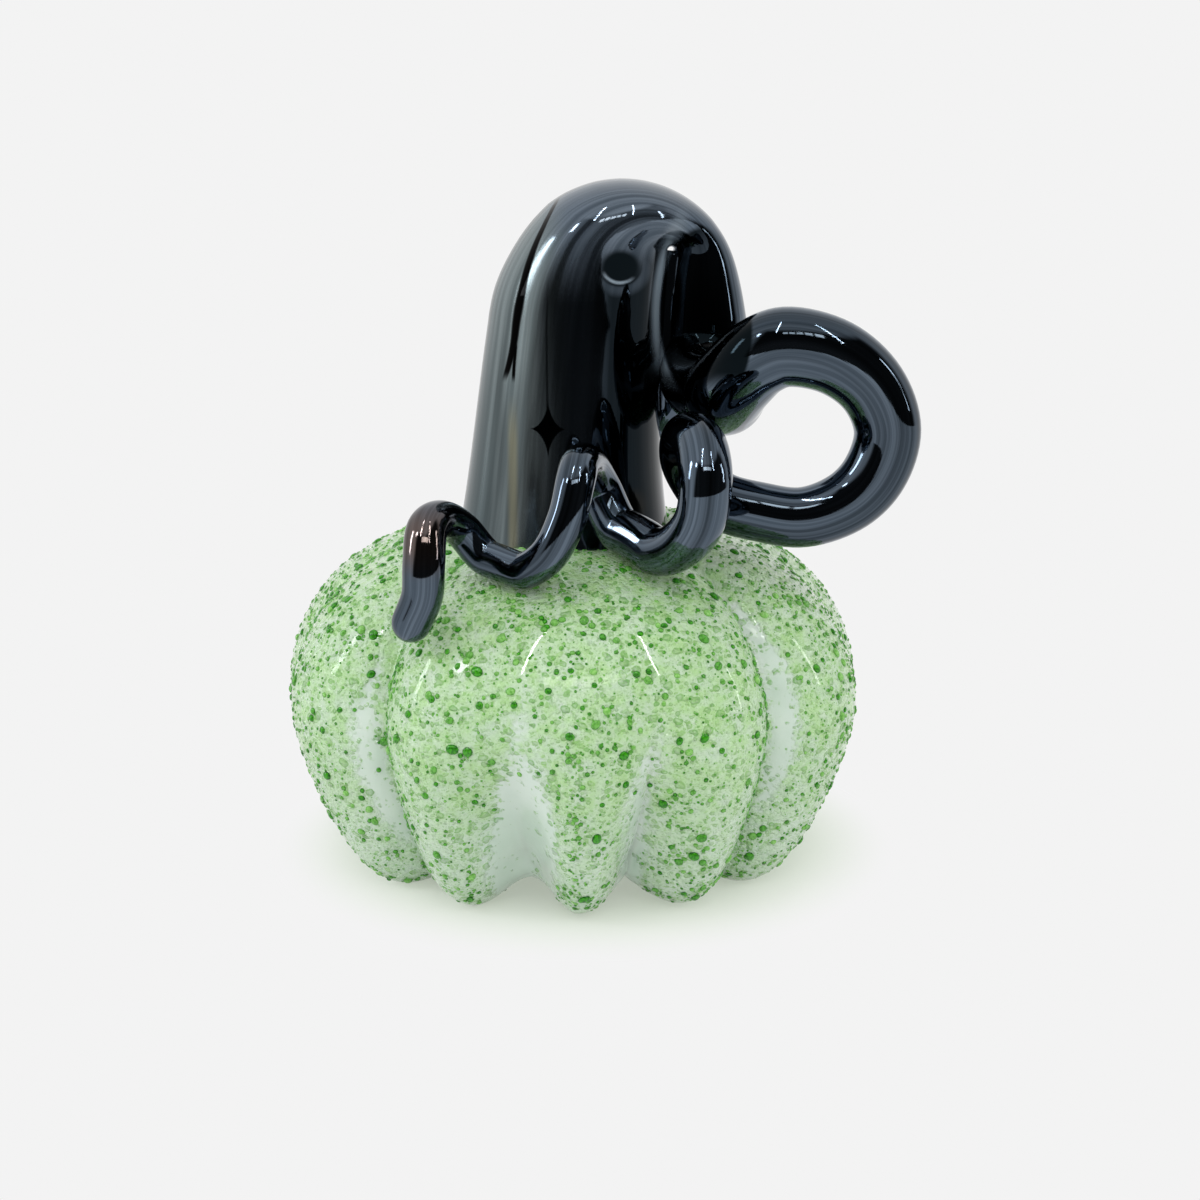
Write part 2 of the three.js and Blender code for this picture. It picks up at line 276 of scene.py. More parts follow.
def close_tree(geometry, material):
    """Ends a tree with plain mesh, smooth faces and the material."""
    plain = geometry.add("GeometryNodeRealizeInstances", None, {"Geometry": geometry})
    smooth = plain.add("GeometryNodeSetShadeSmooth", None, {"Geometry": plain})
    painted = smooth.add(
        "GeometryNodeSetMaterial", None, {"Geometry": smooth, "Material": material}
    )
    painted.add("NodeGroupOutput", None, {"Geometry": painted})


def grown(name, mesh, tree, sizes):
    """A plain mesh object: the tree is run on the given mesh with these sizes, then removed."""
    made = bpy.data.objects.new(name, mesh)
    bpy.context.collection.objects.link(made)
    modifier = made.modifiers.new(tree.name, "NODES")
    modifier.node_group = tree
    for item in tree.interface.items_tree:
        if item.in_out == "INPUT" and item.name in sizes:
            modifier[item.identifier] = sizes[item.name]
    graph = bpy.context.evaluated_depsgraph_get()
    result = bpy.data.meshes.new_from_object(made.evaluated_get(graph), depsgraph=graph)
    made.modifiers.clear()
    made.data = result
    result.name = name
    return made


def mark(wire, name, kind="FLOAT"):
    """A named attribute in a Geometry Nodes tree."""
    return wire.add("GeometryNodeInputNamedAttribute", {"data_type": kind}, {"Name": name})


def fold_tree(material):
    """Presses the folds between the ribs into the bubble, and grinds the feet level."""
    given = growing_tree(
        "rib_folds",
        ["Fold depth", "Fold foot", "Fold reach", "Fades from", "Fades to", "Ground level"],
    )
    names = ("across", "softness", "along", "start")
    across, softness, along, start = (mark(given, name) for name in names)
    depth, reach = given.sibling("Fold depth"), given.sibling("Fold reach")
    arc = 1 - given.math("SQRT", 1 - (across * reach) * (across * reach))
    full_arc = 1 - given.math("SQRT", 1 - reach * reach)
    round_side = arc / full_arc
    wave = (1 - given.math("COSINE", across * math.pi)) / 2
    share = round_side + (wave - round_side) * softness
    under_base = along.step(given.sibling("Fades from"), given.sibling("Fades to"))
    fade = along.step(start, given.sibling("Fold foot")) * (1 - under_base)
    sink = given.add(
        "ShaderNodeVectorMath",
        {"operation": "SCALE"},
        {0: mark(given, "inward", "FLOAT_VECTOR"), "Scale": depth * share * fade},
    )
    pressed = given.add("GeometryNodeSetPosition", None, {"Geometry": given, "Offset": sink})
    place = given.add("ShaderNodeSeparateXYZ", None, {0: given.add("GeometryNodeInputPosition")})
    level = place.sibling("Z").math("MAXIMUM", place.sibling("Z"), given.sibling("Ground level"))
    ground = place.add(
        "ShaderNodeCombineXYZ", None, {"X": place, "Y": place.sibling("Y"), "Z": level}
    )
    flat = given.add("GeometryNodeSetPosition", None, {"Geometry": pressed, "Position": ground})
    close_tree(flat, material)
    return given.tree


def opal_glass():
    """Opal white glass. Green crumbs have melted into it as a thin film, soft blots and specks."""
    material, shader, here = new_material("opal_glass")

    def noise(scale, detail=2, out=0):
        """Noise over the skin: the larger the scale, the finer."""
        inputs = {"Vector": here, "Scale": scale, "Detail": detail}
        return here.add("ShaderNodeTexNoise", None, inputs, out=out)

    height = here.add("ShaderNodeSeparateXYZ", None, {0: here}).sibling("Z")
    low = 1 - height.step(8 * mm, 24 * mm)
    ragged, run_down = 1.3 * mm, 1.25
    bend = noise(650, 2, out="Color").moved("SUBTRACT", (0.5, 0.5, 0.5))
    ragged_place = here.moved("ADD", bend.moved("MULTIPLY", (ragged, ragged, ragged)))
    run_place = ragged_place.moved("MULTIPLY", (1, 1, run_down))

    def blots(scale, least, most):
        """Blots in jittered cells: darker at the rim, with a dome and a random number for each."""
        cell = here.add("ShaderNodeTexVoronoi", None, {"Vector": run_place, "Scale": scale})
        lot = here.add("ShaderNodeSeparateColor", None, {0: cell.sibling("Color")})
        deep = least + (most - least) * lot - cell
        rim = deep.step(0.0, 0.07) * (1 - deep.step(0.07, 0.22) * 0.5)
        return rim, deep.step(0, 0.4), lot.sibling("Green")

    # White glass, and over it the film: thin on the feet, torn at its edges, with a pale veil
    dull_white, clear_white = (0.60, 0.725, 0.625, 1), (0.68, 0.785, 0.70, 1)
    film_green, veil_green = (0.46, 0.72, 0.33, 1), (0.66, 0.84, 0.60, 1)
    cover = here.add("ShaderNodeAttribute", {"attribute_name": "frit"}, out="Fac")
    torn = (noise(260, 3) - 0.5) * 0.9 + (noise(900, 3) - 0.5) * 0.9
    edge = (cover + torn).step(0.16, 0.66)
    stray = (cover + torn * 1.2).step(0.05, 0.25)
    colour = noise(150, 3).step(0.3, 0.7).blend(dull_white, clear_white)
    film = edge * (0.35 + 0.65 * noise(420, 5).step(0.28, 0.70)) * (1 - low * 0.55)
    colour = film.blend(colour, film_green)
    veil = noise(1500, 3).step(0.50, 0.66) * edge
    colour = (veil * 0.35).blend(colour, veil_green)

    # Three sizes of melted crumbs, each between a light and a deep green
    light_leaf, deep_leaf = (0.34, 0.62, 0.20, 1), (0.16, 0.44, 0.08, 1)
    light_olive, deep_olive = (0.27, 0.56, 0.14, 1), (0.12, 0.40, 0.05, 1)
    deep_dust = (0.10, 0.34, 0.04, 1)
    wide, wide_dome, lot = blots(520, 0.16, 0.46)
    olive = lot.blend(light_olive, deep_olive)
    small, small_dome, small_lot = blots(980, 0.20, 0.48)
    leaf = small_lot.blend(light_leaf, deep_leaf)
    speck, speck_dome, speck_lot = blots(2300, 0.22, 0.50)
    dust = speck_lot.blend(light_leaf, deep_dust)
    thin = noise(300, 3).step(0.35, 0.6)
    colour = (small * stray * (0.40 + 0.35 * thin)).blend(colour, leaf)
    colour = (speck * edge * (0.25 + 0.35 * small_lot)).blend(colour, dust)
    colour = (wide * stray * 0.7).blend(colour, olive)

    grain = speck_dome * 0.3 + noise(1300, 3) + noise(2600, 3) * 0.5
    relief = (wide_dome + small_dome * 0.6) * stray + grain * (0.05 + 0.95 * edge)
    bump = here.add(
        "ShaderNodeBump", None, {"Height": relief, "Distance": 0.36 * mm, "Strength": 1.0}
    )
    here.feed(shader, {
        "Base Color": colour,
        "Normal": bump,
        "Roughness": 0.035,
        "Subsurface Weight": 0.2,
        "Subsurface Radius": (0.9, 1.0, 0.85),
        "Subsurface Scale": 2 * mm,
        "Coat Weight": 0.45,
        "Coat Roughness": 0.015,
    })
    return material


body = grown(
    "body",
    turned_bubble(),
    fold_tree(opal_glass()),
    {
        "Fold depth": 8 * mm,
        "Fold foot": 0.66,
        "Fold reach": 0.95,
        "Fades from": 0.62,
        "Fades to": 0.94,
        "Ground level": 0.0,
    },
)


# Places the crumbs missed: how bare, then height in millimetres, and bearing and half width in
# degrees, down the strip
bare_strips = [
    (1.0, [
        (44, -43, 0), (38, -43, 1), (30, -43.5, 2.2), (24, -43.5, 3), (18, -42.5, 3), (11, -41, 2),
    ]),
    (0.6, [(42, -6, 1), (34, -8, 3), (28, -8.5, 4.5), (23, -9, 4.5)]),
    (1.0, [
        (30, -7, 1), (24, -8, 4), (19, -8.5, 6.5), (15, -9.5, 7.5), (8, -11, 8.5), (0, -12, 9.5),
    ]),
    (0.5, [(40, 0, 0), (36, -1, 2.5), (31, -1, 3), (27, -2, 1)]),
    (0.5, [(40, 14, 0), (33, 15, 3), (27, 15, 3), (22, 14, 2)]),
    (1.0, [(30, 14, 0.5), (23, 13.5, 2), (17, 13.5, 2.8), (11, 15, 3.6), (0, 14, 6)]),
    (1.0, [(52, 42, 1), (45, 44.5, 2), (37, 46, 3), (31, 47, 3.2), (24, 46.5, 2.8), (16, 45, 2)]),
    (0.6, [(52, 19, 0.8), (50, 18.7, 1.4), (47, 19, 1), (44, 19, 0.3)]),
]
soft_top, soft_foot = 8, 4
side_margin, soft_side = 3, 5.5

# Lines along which they crowded: height from and to, bearing, half width and how thickly
crowded_lines = [
    (8, 44, -37.5, 1.8, 2.2), (3, 34, 0.5, 2, 1), (8, 46, 40.5, 1.6, 1.5), (2, 22, 20, 2.5, 1),
    (6, 46, -68, 14, 0.5), (6, 46, 64, 12, 0.6),
]


def write_frit_cover(mesh):
    """Marks how thickly crumbs lie on the skin, from 0 on bare glass to 1 and more on the ribs."""
    count = len(mesh.vertices)
    marks = {}
    for name in ("along", "across"):
        marks[name] = np.zeros(count)
        mesh.attributes[name].data.foreach_get("value", marks[name])
    places = np.zeros(count * 3)
    mesh.vertices.foreach_get("co", places)
    x, y, z = ((places.reshape(-1, 3) - np.array(foot_axis)) / mm).T
    bearing = np.degrees(np.arctan2(x, -y))
    cover = np.ones(count)
    for bareness, strip in bare_strips:
        heights, middles, halves = np.array(strip[::-1], dtype=float).T
        middle, half = np.interp(z, heights, middles), np.interp(z, heights, halves)
        below_top = np.clip((heights[-1] - z) / soft_top, 0, 1)
        above_foot = np.clip((z - heights[0] + soft_foot) / soft_foot, 0, 1)
        from_side = half + side_margin - np.abs(bearing - middle)
        clear = np.clip(from_side / soft_side, 0, 1) * below_top * above_foot
        cover *= 1 - bareness * clear
    behind = np.clip((np.abs(bearing) - 62) / 12, 0, 1)
    in_fold = np.clip((np.abs(marks["across"]) - 0.72) / 0.16, 0, 1)
    below_belly = np.clip((marks["along"] - 0.50) / 0.10, 0, 1)
    cover *= 1 - behind * in_fold * below_belly
    near_feet, near_crown = np.clip((10 - z) / 6, 0, 1), np.clip((z - 36) / 6, 0, 1)
    crowd = near_feet * 0.7 + near_crown * 0.3
    for bottom, top, line, half, thickly in crowded_lines:
        along_line = np.exp(-(((bearing - line) / half) ** 2)) * ((z > bottom) & (z < top))
        crowd += along_line * thickly
    cover *= 1 + crowd
    under_base = np.clip((marks["along"] - 0.765) / 0.04, 0, 1)
    cover *= 1 - under_base
    layer = mesh.attributes.new("frit", "FLOAT", "POINT")
    layer.data.foreach_set("value", cover)


write_frit_cover(body.data)
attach(body, "root")
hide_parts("body")


# Frit: crumbs of green glass that the hot bubble was rolled in. They melted to low domes that
# stand proud of the ribs, from coarse grains down to fine ones.
def grain_glass():
    """Clear green glass: pale where a grain melted thin, deep where it is thick, and flecked."""
    material, shader, here = new_material("grain_glass")
    tone = here.add("ShaderNodeAttribute", {"attribute_name": "tone"}, out="Fac")
    dome = here.add("ShaderNodeAttribute", {"attribute_name": "dome"}, out="Fac")
    flecks = here.add(
        "ShaderNodeTexNoise", None, {"Vector": here, "Scale": 3000, "Detail": 3}
    )
    light_thin, light_thick = (0.32, 0.64, 0.18, 1), (0.045, 0.34, 0.006, 1)
    deep_thin, deep_thick = (0.13, 0.45, 0.05, 1), (0.004, 0.090, 0.002, 1)
    light, deep = tone.blend(light_thin, light_thick), tone.blend(deep_thin, deep_thick)
    # Painted shade: each grain is darker towards its rim, as the edge of a clear dome looks
    rim = 1 - dome.step(0.1, 0.65)
    colour = (flecks.step(0.40, 0.62) * 0.75 + rim * 0.35).blend(light, deep)
    here.feed(shader, {
        "Base Color": colour,
        "Roughness": 0.05 + flecks.step(0.45, 0.7) * 0.15,
        "Specular IOR Level": 0.3,
        "Coat Weight": 0.25,
        "Coat Roughness": 0.02,
    })
    return material


def frit_tree(material, faces):
    """Scatters melted grains over the marked skin, sunk a little into it."""
    given = growing_tree(
        "frit",
        [
            "Grains per square metre", "Least radius", "Most radius", "Flatness", "Lift",
            "Deepest", "Seed",
        ],
    )
    position = given.add("GeometryNodeInputPosition")
    place = given.add("ShaderNodeSeparateXYZ", None, {0: position})
    clumps = given.add(
        "ShaderNodeTexNoise", None, {"Vector": position, "Scale": 260, "Detail": 2}
    )
    above_ground = place.sibling("Z").step(0.9 * mm, 1.6 * mm)
    density = mark(given, "frit") ** 1.5 * (clumps.step(0.3, 0.75) * 1.3 + 0.35) * above_ground
    points = given.add(
        "GeometryNodeDistributePointsOnFaces",
        {"distribute_method": "RANDOM"},
        {
            "Mesh": given,
            "Density": density * given.sibling("Grains per square metre"),
            "Seed": given.sibling("Seed"),
        },
    )

    full_turn = 6.283

    def lot(number, low=0.0, high=1.0):
        """A random value for each grain: the number picks the draw."""
        inputs = {2: low, 3: high, "ID": given.add("GeometryNodeInputIndex"), "Seed": number}
        return given.add("FunctionNodeRandomValue", {"data_type": "FLOAT"}, inputs, out=1)

    toned = given.add(
        "GeometryNodeStoreNamedAttribute",
        {"data_type": "FLOAT", "domain": "POINT"},
        {"Geometry": points, "Name": "tone", "Value": lot(11) ** 0.7 * given.sibling("Deepest")},
    )
    least, most = given.sibling("Least radius"), given.sibling("Most radius")
    radius = least + (most - least) * lot(12) ** 2
    size = given.add(
        "ShaderNodeCombineXYZ",
        None,
        {
            "X": radius * lot(13, 0.85, 1.3),
            "Y": radius,
            "Z": radius * given.sibling("Flatness") * lot(14, 0.8, 1.2),
        },
    )
    ball = given.add("GeometryNodeMeshIcoSphere", None, {"Radius": 1.0, "Subdivisions": faces})
    rise = given.add("ShaderNodeSeparateXYZ", None, {0: position}).sibling("Z")
    ball = given.add(
        "GeometryNodeStoreNamedAttribute",
        {"data_type": "FLOAT", "domain": "POINT"},
        {"Geometry": ball, "Name": "dome", "Value": rise},
    )
    spun = given.add(
        "FunctionNodeRotateRotation",
        {"rotation_space": "LOCAL"},
        {
            "Rotation": points.sibling("Rotation"),
            "Rotate By": given.add("ShaderNodeCombineXYZ", None, {"Z": lot(15, 0, full_turn)}),
        },
    )
    grains = given.add(
        "GeometryNodeInstanceOnPoints",
        None,
        {"Points": toned, "Instance": ball, "Rotation": spun, "Scale": size},
    )
    lifted = given.add(
        "GeometryNodeTranslateInstances",
        None,
        {
            "Instances": grains,
            "Translation": given.add(
                "ShaderNodeCombineXYZ", None, {"Z": given.sibling("Lift")}
            ),
            "Local Space": True,
        },
    )
    close_tree(lifted, material)
    return given.tree


grain_finish = grain_glass()

# Ball subdivisions, grains per square metre, least and most radius, flatness, lift off the skin,
# deepest tone, and seed. Lengths are in millimetres.
frit_sizes = {
    "frit_coarse": (2, 52000, 0.38, 0.76, 0.60, 0.08, 1.2, 5),
    "frit_medium": (1, 250000, 0.20, 0.46, 0.50, 0.04, 1.0, 8),
    "frit_fine": (1, 300000, 0.09, 0.24, 0.60, 0.03, 0.8, 13),
}
for name, (faces, count, least, most, flatness, lift, deepest, seed) in frit_sizes.items():
    frit = grown(
        name,
        body.data,
        frit_tree(grain_finish, faces),
        {
            "Grains per square metre": count,
            "Least radius": least * mm,
            "Most radius": most * mm,
            "Flatness": flatness,
            "Lift": lift * mm,
            "Deepest": deepest,
            "Seed": seed,
        },
    )
    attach(frit, "root")


# Stem and tendril: one pull of near-black glass. It rises from the crown as a thick column,
# folds over to the right, presses its thin limb against its own side, and runs on as the
# tendril. One skin is drawn along the whole pull and then parted where the tendril starts.
shoulder_height = 52
crown_height = 44
column_radius, column_shift, column_taper, column_height = 12.9, 1.7, 2.9, 50
root_flare, root_shift = 3, -3.2
root_sunk = 3
hook_tip, fold_gap, fold_rise = 5.5, 0.8, 8
limb_radius, limb_end_radius, limb_drop = 6.9, 6.4, 20.2
limb_setback, limb_reach, limb_press, limb_standoff = 3, 7.2, 0.6, 2.8

# Web in the limb's corner: share of the limb's drop, radius, and depth into the column
web_stations = [
    (0.0, 2.0, 0.6), (0.25, 2.2, 0.5), (0.5, 2.4, 0.5), (0.75, 3.0, 0.7), (1.0, 3.1, 0.7),
    (1.2, 2.6, 0.4), (1.36, 1.6, -0.6),
]

# Tendril: x, y, height over the shoulder and radius, down its length
tendril_turns = [
    (22.8, -13.2, 22.3, 6.2), (24.3, -17.4, 24.9, 6), (27, -20.4, 27.8, 5.85),
    (30.4, -21.5, 29.2, 5.8), (37.4, -22, 27.8, 5.5), (42.8, -22, 23.5, 5.1),
    (45.2, -22, 17.5, 4.9), (43.7, -22, 11.5, 4.85), (40.1, -22, 7.4, 4.7),
    (33.7, -22, 4.9, 4.5), (27.3, -21, 5.5, 4.45), (21, -19.5, 7.3, 4.4),
    (17.3, -19.5, 12.3, 4.3), (16.8, -24, 16.3, 4.1), (18.2, -31, 15.9, 3.9),
    (18.6, -35, 12.3, 3.8), (17.9, -35, 6.8, 3.7), (14.7, -31, 2.1, 3.6),
    (10.6, -26, 0.9, 3.55), (6.7, -22, 3.5, 3.45), (4.2, -20, 8.7, 3.3),
    (2.5, -23.5, 12.6, 3.1), (1.4, -29, 13.4, 2.95), (0.9, -32, 11.9, 2.9),
    (-0.3, -34, 6.9, 2.85), (-3, -34, 1.6, 2.8), (-7.7, -31, -1.4, 2.7),
    (-12.2, -28, 0.5, 2.8), (-15.2, -28, 4.1, 2.8), (-17.8, -31, 6.1, 2.9),
    (-19.4, -35, 5.5, 3), (-19.7, -37.5, 1.4, 3.05), (-20, -38, -3.2, 3),
    (-21.5, -38, -6.8, 2.9),
]
tendril_lead = 2.2
pull_inset = 0.13
sides = 56


def column_half(rise):
    """Half the column's width, at a share of the way up it."""
    return column_radius + column_taper * (1 - rise) + root_flare * (1 - rise) ** 4


def column_axis(rise):
    """The x of the column's middle, at a share of the way up it."""
    return column_shift + root_shift * (1 - max(rise, 0) ** 2.2)


def ring(centre, across, half_across, along, half_along):
    """One closed ring of points about a centre, in millimetres."""
    turns = np.linspace(0, 2 * math.pi, sides, endpoint=False)
    return (
        np.array(centre)
        + np.outer(np.cos(turns), np.array(across) * (half_across - pull_inset))
        + np.outer(np.sin(turns), np.array(along) * (half_along - pull_inset))
    )


def column_rings(steps):
    """Level rings from the column's root up to the hook."""
    base = crown_height - root_sunk
    made = []
    for i in range(steps):
        rise = i / steps
        centre = (column_axis(rise), 0, base + (column_height + root_sunk) * rise)
        half = column_half(rise)
        made.append(ring(centre, (1, 0, 0), half, (0, -1, 0), half))
    return made


def hook_rings(steps):
    """Rings that fan about the fold between column and limb, out to the hook's round outside."""
    outer = column_radius + hook_tip + fold_gap / 2
    top = crown_height + column_height
    fold = np.array((column_shift + column_radius + fold_gap / 2, 0, top))
    middle = np.array((column_shift + outer - column_radius, 0, top - fold_rise))
    offset = fold - middle
    made = []
    for i in range(steps + 1):
        turn = math.pi * i / steps
        out = np.array((-math.cos(turn), 0, math.sin(turn)))
        b = offset @ out
        reach = -b + math.sqrt(b * b - offset @ offset + outer**2)
        half = (reach - fold_gap / 2) / 2
        share = (i / steps) ** 2 * (3 - 2 * i / steps)
        depth = column_radius + (hook_tip - column_radius) * share
        centre = fold + out * (fold_gap / 2 + half)
        centre[1] = limb_setback * share
        made.append(ring(centre, -out, half, (0, -1, 0), depth))
    return made


def rings_between(given, steps):
    """The given rings with more between them, on smooth curves through each ring's points."""
    made = []
    last = len(given) - 1
    for i in range(last):
        p0, p1, p2, p3 = (given[min(max(k, 0), last)] for k in (i - 1, i, i + 1, i + 2))
        leave, reach = (p2 - p0) / 2, (p3 - p1) / 2
        for t in np.linspace(0, 1, steps, endpoint=False):
            made.append(on_cubic(t, p1, p2, leave, reach)[0])
    made.append(given[-1])
    return made


def beside_column(drop, y, radius, gap):
    """Station of a strand that lies against the column, a drop below the fold."""
    rise = 1 - drop / column_height
    reach = column_half(rise) + radius + gap
    x = column_axis(rise) + math.sqrt(reach**2 - y**2)
    return (x, y, crown_height + column_height - drop, radius)


def smooth_path(stations, steps):
    """Places and radii on a curve through all stations, with even steps between each two."""
    stations = np.array(stations, dtype=float)
    spans = np.linalg.norm(np.diff(stations[:, :3], axis=0), axis=1) ** 0.5
    made = []
    for i in range(len(stations) - 1):
        p1, p2 = stations[i], stations[i + 1]
        p0 = stations[i - 1] if i else 2 * p1 - p2
        p3 = stations[i + 2] if i + 2 < len(stations) else 2 * p2 - p1
        d0, d1, d2 = (max(spans[min(max(k, 0), len(spans) - 1)], 1e-6) for k in (i - 1, i, i + 1))
        leave = ((p1 - p0) / d0 - (p2 - p0) / (d0 + d1) + (p2 - p1) / d1) * d1
        reach = ((p2 - p1) / d1 - (p3 - p1) / (d1 + d2) + (p3 - p2) / d2) * d1
        for t in np.linspace(0, 1, steps, endpoint=False):
            made.append(on_cubic(t, p1, p2, leave, reach)[0])
    made.append(stations[-1])
    return np.array(made)


def lifted_path(path):
    """The path with each place raised until the strand rests on the body's skin."""
    most_near, steepest, tries = 12, 0.35, 4
    skin = BVHTree.FromPolygons(
        [v.co / mm for v in body.data.vertices], [tuple(p.vertices) for p in body.data.polygons]
    )
    for place in path:
        for _ in range(tries):
            at = Vector(place[:3]) + foot_axis / mm
            near, normal, _index, _far = skin.find_nearest(at)
            room = (at - near).dot(normal)
            if abs(room) < most_near and room < place[3]:
                place[2] += (place[3] - room) / max(normal.z, steepest)
    kernel = np.array([0.25, 0.5, 0.25])
    heights = path[:, 2].copy()
    path[1:-1, 2] = np.maximum(heights[1:-1], np.convolve(heights, kernel, "valid"))
    return path


def strand_rings(path, across):
    """Rings along a path, turned as little as can be from one to the next, and a round end."""
    cap_turns = np.radians([12, 25, 38, 51, 63, 74, 83])
    made = []
    across = Vector(across)
    for i, place in enumerate(path):
        before, after = path[max(i - 1, 0)], path[min(i + 1, len(path) - 1)]
        ahead = Vector(after[:3] - before[:3]).normalized()
        across = (across - ahead * across.dot(ahead)).normalized()
        made.append(ring(place[:3], across, place[3], across.cross(ahead), place[3]))
    end, radius = Vector(path[-1][:3]), path[-1][3]
    for turn in cap_turns:
        centre = end + ahead * radius * math.sin(turn)
        half = radius * math.cos(turn)
        made.append(ring(centre, across, half, across.cross(ahead), half))
    return made, end + ahead * radius


column_steps, hook_steps, path_steps = 10, 14, 8
limb_stations = [
    beside_column(limb_drop * 0.22, limb_setback, (hook_tip + limb_radius) / 2, -limb_press),
    beside_column(limb_drop * 0.48, limb_setback, limb_radius, -limb_press),
    beside_column(limb_drop * 0.76, limb_setback * 0.6, limb_radius, -limb_press),
    beside_column(limb_drop * 0.95, -limb_reach * 0.32, limb_end_radius + 0.2, -limb_press / 2),
    beside_column(limb_drop, -limb_reach, limb_end_radius, limb_standoff),
]
hook_end = hook_rings(hook_steps)[-1].mean(axis=0)
limb_end = np.array(limb_stations[-1][:3])
heading = limb_end - np.array(limb_stations[-2][:3])
lead_end = limb_end + heading / np.linalg.norm(heading) * (tendril_lead + 0.3)
curl = [(x, y, shoulder_height + rise, radius) for x, y, rise, radius in tendril_turns]
pull_path = lifted_path(
    smooth_path(
        [(*hook_end, hook_tip - 0.4), *limb_stations, (*lead_end, limb_end_radius), *curl],
        path_steps,
    )
)
limb_rings = path_steps * len(limb_stations)
following, pull_end = strand_rings(pull_path, (-1, 0, 0))
first_rings = rings_between(column_rings(column_steps) + hook_rings(hook_steps), 5)
rings = first_rings + following[1:]
hook_last = len(first_rings)
parting = hook_last + limb_rings - 1

# The rings are evened out where the column turns into the hook, and the hook into the limb:
# first and last ring, and how often
into_hook, into_limb = (42, 58, 12), (hook_last - 14, hook_last + 16, 40)
for low, high, passes in (into_hook, into_limb):
    for _ in range(passes):
        before, at, after = (rings[low + k : high + k] for k in (-1, 0, 1))
        rings[low:high] = [(a + 2 * b + c) / 4 for a, b, c in zip(before, at, after)]


def tube_mesh(name, tube_rings, end):
    """A closed tube through rings of points, with a middle point at its start and its end."""
    points = np.vstack([tube_rings[0].mean(axis=0), *tube_rings, np.array(end)])
    last = len(points) - 1
    following = [(j + 1) % sides for j in range(sides)]
    faces = [(0, 1 + k, 1 + j) for j, k in enumerate(following)]
    for i in range(len(tube_rings) - 1):
        a = 1 + i * sides
        faces += [(a + j, a + k, a + sides + k, a + sides + j) for j, k in enumerate(following)]
    a = 1 + (len(tube_rings) - 1) * sides
    faces += [(last, a + j, a + k) for j, k in enumerate(following)]
    mesh = bpy.data.meshes.new(name)
    mesh.from_pydata([Vector(p) for p in points * mm + np.array(foot_axis)], [], faces)
    mesh.shade_smooth()
    return mesh


def pull_mesh():
    """The whole skin of the pull, with its flow and the column's share written on its points."""
    column_end, column_blend, flow_per_mm = 22, 14, 0.1
    mesh = tube_mesh("pull", rings, pull_end)
    centres = np.array([r.mean(axis=0) for r in rings])
    length = np.concatenate([[0], np.cumsum(np.linalg.norm(np.diff(centres, axis=0), axis=1))])
    turns = np.linspace(0, 2 * math.pi, sides, endpoint=False)
    flow = [(0, 0, 0)]
    for along in length:
        flow += [(math.cos(t), math.sin(t), along * flow_per_mm) for t in turns]
    flow.append((0, 0, length[-1] * flow_per_mm))
    layer = mesh.attributes.new("flow", "FLOAT_VECTOR", "POINT")
    layer.data.foreach_set("vector", np.array(flow).ravel())
    from_end = hook_last - column_end - np.arange(len(rings))
    on_column = np.clip(from_end / column_blend, 0, 1)
    layer = mesh.attributes.new("column", "FLOAT", "POINT")
    layer.data.foreach_set("value", np.concatenate([[1], np.repeat(on_column, sides), [0]]))
    return mesh


